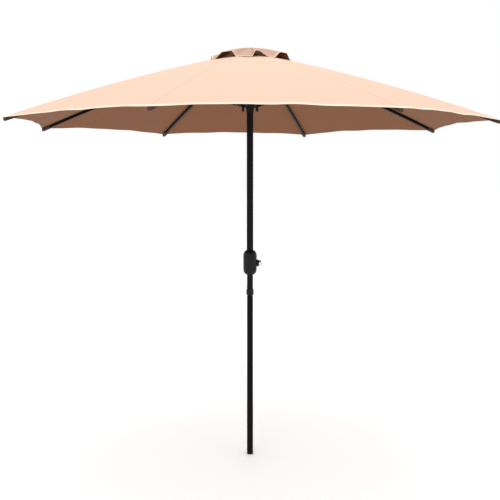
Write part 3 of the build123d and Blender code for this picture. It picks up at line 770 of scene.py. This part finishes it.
def arm_insert(name, floor, axis, along, beside):
    """Ribbed insert in one pocket of the arm, on the side that beside points to."""
    rings = []
    start = INSERT_START
    while start + INSERT_PITCH <= INSERT_END:
        for share, height in INSERT_WAVE:
            place = start + share * INSERT_PITCH
            outer = INSERT_OUTER - INSERT_TAPER * place
            base = floor + along * place
            corners = ((INSERT_INNER, 0.0), (outer, 0.0), (outer, height), (INSERT_INNER, height))
            rings.append([base + beside * across + axis * up for across, up in corners])
        start += INSERT_PITCH
    return loft(name, rings, MATERIALS["arm_insert"], sharp=radians(20))


def make_handle():
    """Details of the crank: rim of the hub, badge, ribbed inserts in the arm, turned grip."""
    axis = Vector((1, 0, 0))
    badge_low, badge_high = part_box("crank_badge")
    centre = Vector((badge_high.x, PIVOTS["crank"].y, PIVOTS["crank"].z))
    outwards = PIVOTS["crank_grip"] - PIVOTS["crank"]
    outwards.x = 0
    along = outwards.normalized()
    beside = axis.cross(along)
    badge_radius = (badge_high.y - badge_low.y) / 2
    rim = turned("crank_hub_rim", shifted(HUB_RIM, 0.0, badge_radius), centre, axis,
                 MATERIALS["chrome"], segments=96, looped=True)
    carry(rim, "crank")
    make_badge(centre, axis, along, beside, badge_radius, badge_high.x - badge_low.x)

    floor = centre - axis * INSERT_FLOOR
    for side, name in ((-1, "lower"), (1, "upper")):
        insert = arm_insert(f"crank_insert_{name}", floor, axis, along, beside * side)
        carry(insert, "crank")

    low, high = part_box("crank_grip")
    start = Vector((low.x, PIVOTS["crank_grip"].y, PIVOTS["crank_grip"].z))
    radius, length = (high.y - low.y) / 2, high.x - low.x
    profile = shifted(GRIP_NECK, 0.0, radius) + shifted(GRIP_END, length, radius)
    grip = turned("crank_grip_knob", profile, start, axis, MATERIALS["chrome"], segments=64)
    carry(grip, "crank_grip", "crank_grip")
    profile = shifted(GRIP_FACE, length, radius) + shifted([FACE_CENTRE], length, 0.0)
    face = turned("crank_grip_face", profile, start, axis, MATERIALS["arm_insert"], segments=48)
    carry(face, "crank_grip")


BADGE_RINGS = [0.15, 0.3, 0.45, 0.55, 0.57, 0.60, 0.72, 0.84, 0.87, 0.89, 0.95, 0.985, 1.0]
BADGE_TURN = radians(45)        # of the printing, from the arm's direction
BADGE_DOME = 0.0002             # rise of the badge's middle
BADGE_RIM_DROP = 0.0004         # of its last ring
INK = 0.00015                   # rise of the arcs
PLAIN, RED, TEAL = 0, 1, 2      # order of the badge's materials
BADGE_ARCS = [(radians(-17), radians(107), TEAL), (radians(161), radians(263), RED)]
ARC_INNER, ARC_OUTER = 0.599, 0.841     # shares of the badge's radius
# the badge's line: shares of the radius from its middle, and half widths there
LINE_ENDS = [(-0.9, 0.0002), (-0.87, 0.00042), (0.87, 0.00042), (0.9, 0.0002)]
LINE_RISE = 0.0001              # of its edges over the badge, and of its crest over those


def badge_kind(angle, share):
    """Material of the badge at an angle and a share of its radius."""
    for start, end, kind in BADGE_ARCS:
        if (angle - start) % (2 * pi) <= end - start and ARC_INNER <= share <= ARC_OUTER:
            return kind
    return PLAIN


def make_badge(centre, axis, along, beside, radius, thickness):
    """Round badge with a plain red arc, a plain teal arc and a line between them."""
    segments = 96

    def point_at(angle, share, lift):
        turn = angle + BADGE_TURN
        return (centre + axis * lift + along * radius * share * cos(turn)
                + beside * radius * share * sin(turn))

    points = [centre + axis * BADGE_DOME]
    for share in BADGE_RINGS:
        dome = BADGE_DOME * (1 - share ** 2) - (BADGE_RIM_DROP if share == 1.0 else 0.0)
        for j in range(segments):
            angle = 2 * pi * j / segments
            ink = INK if badge_kind(angle, share) != PLAIN else 0.0
            points.append(point_at(angle, share, dome + ink))
    for j in range(segments):
        points.append(point_at(2 * pi * j / segments, 1.0, -thickness))
    faces, kinds = [], []
    for j in range(segments):
        k = (j + 1) % segments
        faces.append((0, 1 + j, 1 + k))
        kinds.append(PLAIN)
        middle = 2 * pi * (j + 0.5) / segments
        for i in range(len(BADGE_RINGS)):
            a, b = 1 + i * segments, 1 + (i + 1) * segments
            faces.append((a + j, b + j, b + k, a + k))
            between = sum(BADGE_RINGS[i:i + 2]) / 2 if i + 1 < len(BADGE_RINGS) else 1.0
            kinds.append(badge_kind(middle, between))
    last = 1 + len(BADGE_RINGS) * segments
    faces.append(tuple(last + j for j in range(segments)))
    kinds.append(PLAIN)
    badge = new_object("crank_badge_disc", points, faces,
                       [MATERIALS[n] for n in ("badge", "badge_red", "badge_teal")], kinds)
    carry(badge, "crank", "crank_badge")

    rings = []
    for share, half_width in LINE_ENDS:
        base = centre + along * radius * share
        edge = BADGE_DOME * (1 - share ** 2) + LINE_RISE
        crest = BADGE_DOME + LINE_RISE * (1 - abs(share))
        rings.append([base + beside * across + axis * up for across, up in (
            (-half_width, -BADGE_DOME), (half_width, -BADGE_DOME), (half_width, edge),
            (0.0, crest), (-half_width, edge))])
    middle = [(p + q) / 2 + axis * LINE_RISE for p, q in zip(rings[1], rings[2])]
    rings.insert(2, middle)
    line = loft("crank_badge_line", rings, MATERIALS["steel"])
    carry(line, "crank")


# ---------------------------------------------------------------- studio
def area_light(name, place, target, size, power):
    data = bpy.data.lights.new(name, "AREA")
    data.shape = "SQUARE"
    data.size = size
    data.energy = power
    light = bpy.data.objects.new(name, data)
    light.location = place
    light.rotation_euler = (Vector(target) - Vector(place)).to_track_quat("-Z", "Y").to_euler()
    bpy.context.scene.collection.objects.link(light)


def make_studio():
    """White floor and background, and four soft lights."""
    reach = 60.0
    mesh = bpy.data.meshes.new("floor")
    mesh.from_pydata([(-reach, -reach, 0), (reach, -reach, 0), (reach, reach, 0),
                      (-reach, reach, 0)], [], [(0, 1, 2, 3)])
    floor = bpy.data.objects.new("floor", mesh)
    bpy.context.scene.collection.objects.link(floor)
    m = Nodes("floor")
    m.set(Base_Color=rgb(0.97, 0.97, 0.97), Roughness=0.9)
    m.set(Emission_Color=rgb(1.0, 1.0, 1.0), Emission_Strength=0.13)
    mesh.materials.append(m.material)

    world = bpy.data.worlds.new("studio")
    world.use_nodes = True
    background = world.node_tree.nodes["Background"]
    background.inputs["Color"].default_value = rgb(1.0, 1.0, 1.0)
    background.inputs["Strength"].default_value = 1.0
    bpy.context.scene.world = world

    middle = (0, 0, 1.4)
    area_light("key", (-2.6, -4.6, 4.6), middle, size=3.0, power=45)
    area_light("fill", (3.8, -3.4, 3.2), middle, size=3.0, power=20)
    area_light("rim", (0.6, 4.8, 3.6), middle, size=2.5, power=25)
    area_light("top", (0, 0.5, 5.5), middle, size=4.0, power=45)


def make_camera():
    """Level camera, fitted to the corners of the canopy, the top and the foot in the photo."""
    distance, height = 4.373, 1.637
    azimuth = radians(-5.14)
    focal_length, sensor = 54.8, 36.0
    horizon_rise = 0.163            # horizon above the picture's centre, as a share of its side
    data = bpy.data.cameras.new("camera")
    data.lens = focal_length
    data.sensor_width = sensor
    data.shift_y = -horizon_rise
    data.clip_end = 100
    camera = bpy.data.objects.new("camera", data)
    camera.location = (distance * sin(azimuth), -distance * cos(azimuth), height)
    camera.rotation_euler = (radians(90), 0, azimuth)
    bpy.context.scene.collection.objects.link(camera)
    bpy.context.scene.camera = camera


make_camera()
make_canopy()
make_vent()
make_hard_parts()
make_handle()
make_studio()
bpy.context.scene.view_settings.view_transform = "Standard"
